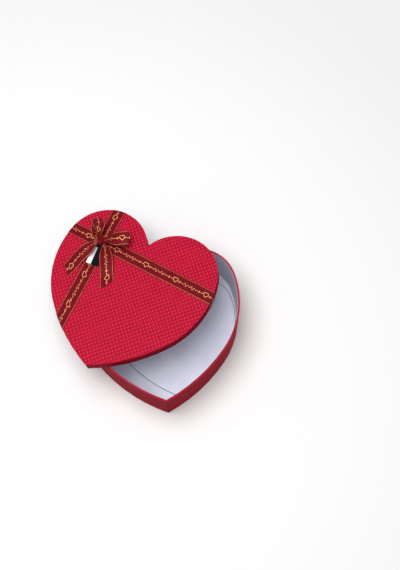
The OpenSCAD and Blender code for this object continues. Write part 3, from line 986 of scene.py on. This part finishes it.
def make_world(scene, sky):
    """Even light from all sides, plain white where the camera, gloss or glass shows the world."""
    world = bpy.data.worlds.new("studio")
    world.use_nodes = True
    tree = world.node_tree
    tree.nodes.clear()
    rays = add_node(tree, "ShaderNodeLightPath").socket.node.outputs
    seen, glossy, through = (
        Expr(tree, rays[f"Is {kind} Ray"]) for kind in ("Camera", "Glossy", "Transmission")
    )
    lit, white = (
        add_node(tree, "ShaderNodeBackground", inputs={"Color": WHITE, "Strength": strength})
        for strength in (sky, 1.0)
    )
    share = seen.most(glossy).most(through)
    mixed = add_node(tree, "ShaderNodeMixShader", inputs=[share, lit, white])
    out = tree.nodes.new("ShaderNodeOutputWorld")
    tree.links.new(mixed.socket, out.inputs["Surface"])
    scene.world = world


# Operators


class GIFTBOX_OT_stage(bpy.types.Operator):
    """Camera, floor, soft lamps and the world's light"""

    bl_idname = "giftbox.stage"
    bl_label = "Make Stage"

    def execute(self, context):
        s = settings().stage
        make_camera(context.scene)
        make_floor(s.floor_colour)
        make_lamp("key_lamp", (-0.33, 0.03, 1.9), 1.3, s.key_power)
        make_lamp("fill_lamp", (0.35, -0.9, 1.7), 1.6, s.fill_power)
        make_world(context.scene, s.sky)
        return {"FINISHED"}


class GIFTBOX_OT_papers(bpy.types.Operator):
    """Finishes of the papers, boards, tapes, glue and tag"""

    bl_idname = "giftbox.papers"
    bl_label = "Finish Papers"

    def execute(self, context):
        s = settings().paper
        # The walls' lining and the bottom paper take the lining colour at 0.8, painted shade of the
        # inside walls.
        inside, shaded_lining = s.lining_colour, scaled(s.lining_colour, 0.8)
        wrinkle, card_wrinkle = 1.6 * MM, 0.6 * MM
        # A node gets the first finish whose key is in its name
        finishes = {
            "lid_top_sheet": embossed_paper(),
            "lid_skirt_wrap": cover_paper("skirt_paper", LID, SKIRT_H),
            "base_wall_wrap": cover_paper("wall_paper", TO_METRES, BASE_H),
            "base_floor_liner": lining_paper("floor_paper_inside", inside, wrinkle),
            "floor_card": lining_paper("card_paper", scaled(inside, 1.03), card_wrinkle),
            "bow_glue_stem": set_glue(),
            "tag_card": tag_card(),
            "board": grey_board(),
            "tape": gummed_tape(),
            # Painted shade: the walls' lining is a darker copy of the floor's lining paper.
            "liner": lining_paper("lining_paper", shaded_lining, wrinkle),
        }
        finishes["bottom_paper"] = finishes["liner"]
        for node, piece in frame["nodes"].items():
            finish = next((finishes[key] for key in finishes if key in node), None)
            if finish:
                piece.data.materials.clear()
                piece.data.materials.append(finish)
        # The card's edge gets a strip with painted shade, a dark line along the card's edge.
        points = card_edge_points()
        place = Matrix.Translation((*(CARD_AT * MM), 0)) @ Matrix.Rotation(CARD_TURN, 4, "Z")
        uv = np.zeros((len(points) + 1, points.shape[1], 2))
        edge = grid_mesh("card_edge", points, uv, place @ TO_METRES, closed=True)
        edge.data.materials.append(painted_edge_shade())
        thicken(edge, 0.1 * MM)
        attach(edge, "base")
        return {"FINISHED"}


class GIFTBOX_OT_bands(bpy.types.Operator):
    """The two bands of ribbon over the lid"""

    bl_idname = "giftbox.bands"
    bl_label = "Lay Bands"

    def execute(self, context):
        width = settings().ribbon.width / MM
        finish = satin("printed_satin")
        for name, heading, hump in (("cross", CROSS_BAND_A, 0.0), ("long", LONG_BAND_A, 1.0)):
            points = band_points(heading, hump)
            piece = grid_mesh(f"{name}_band", points, ribbon_uv(points, width), LID)
            finish_ribbon(
                piece, finish, f"ribbon_{name}_band"
            )
        return {"FINISHED"}


class GIFTBOX_OT_bow(bpy.types.Operator):
    """The bow's loops, tails and knot"""

    bl_idname = "giftbox.bow"
    bl_label = "Tie Bow"

    def execute(self, context):
        bow = settings().bow
        width = settings().ribbon.width / MM
        slant = bow.slant / MM
        finish = bpy.data.materials["printed_satin"]
        strips = {
            "back_loop": loop_points(
                bow.back_loop_a,
                bow.back_loop_l / MM,
                side=-1,
                roll=math.radians(-14),
                depth=2.5,
                phase=0.4,
                belly=2.2,
                drawn=3.0,
                mouth=math.radians(40),
            ),
            "right_loop": loop_points(
                bow.right_loop_a,
                bow.right_loop_l / MM,
                side=1,
                roll=math.radians(14),
                depth=2.7,
                phase=1.1,
                belly=2.4,
                drawn=3.5,
            ),
            "left_tail": tail_points(
                bow.left_tail_a, bow.left_tail_l / MM, -1, slant, depth=1.2, phase=0.5, sway=0.6
            ),
            "right_tail": tail_points(
                bow.right_tail_a, bow.right_tail_l / MM, 1, -slant, depth=1.3, phase=-0.7, sway=0.9
            ),
        }
        for name, points in strips.items():
            piece = grid_mesh(name, points, ribbon_uv(points, width), BOW)
            finish_ribbon(piece, finish, f"bow_{name}")
        points = knot_points()
        ring = np.concatenate([points, points[:1]])
        over = np.linalg.norm(np.diff(points, axis=1), axis=-1).sum(1).mean()
        piece = grid_mesh("knot", points, ribbon_uv(ring, over), BOW, closed=True)
        finish_ribbon(
            piece, satin("plain_satin", 0.0), "bow_knot"
        )
        return {"FINISHED"}


class GIFTBOX_PT_panel(bpy.types.Panel):
    """Lists the operators in the order in which they are used"""

    bl_label = "Heart Gift Box"
    bl_idname = "GIFTBOX_PT_panel"
    bl_space_type = "VIEW_3D"
    bl_region_type = "UI"
    bl_category = "Gift Box"

    def draw(self, context):
        for operator in OPERATORS:
            self.layout.operator(operator.bl_idname)


class GiftBoxSettings(bpy.types.PropertyGroup):
    """All settings of the scene"""

    paper: PointerProperty(type=PaperSettings)
    ribbon: PointerProperty(type=RibbonSettings)
    bow: PointerProperty(type=BowSettings)
    stage: PointerProperty(type=StageSettings)


OPERATORS = (GIFTBOX_OT_stage, GIFTBOX_OT_papers, GIFTBOX_OT_bands, GIFTBOX_OT_bow)
CLASSES = (
    PaperSettings,
    RibbonSettings,
    BowSettings,
    StageSettings,
    GiftBoxSettings,
    *OPERATORS,
    GIFTBOX_PT_panel,
)


def register():
    for each in CLASSES:
        bpy.utils.register_class(each)
    bpy.types.Scene.gift_box = PointerProperty(type=GiftBoxSettings)


def unregister():
    del bpy.types.Scene.gift_box
    for each in reversed(CLASSES):
        bpy.utils.unregister_class(each)


def main():
    """Makes the whole scene."""
    register()
    bpy.ops.giftbox.stage()
    bpy.ops.giftbox.papers()
    bpy.ops.giftbox.bands()
    bpy.ops.giftbox.bow()


if __name__ == "__main__":
    main()
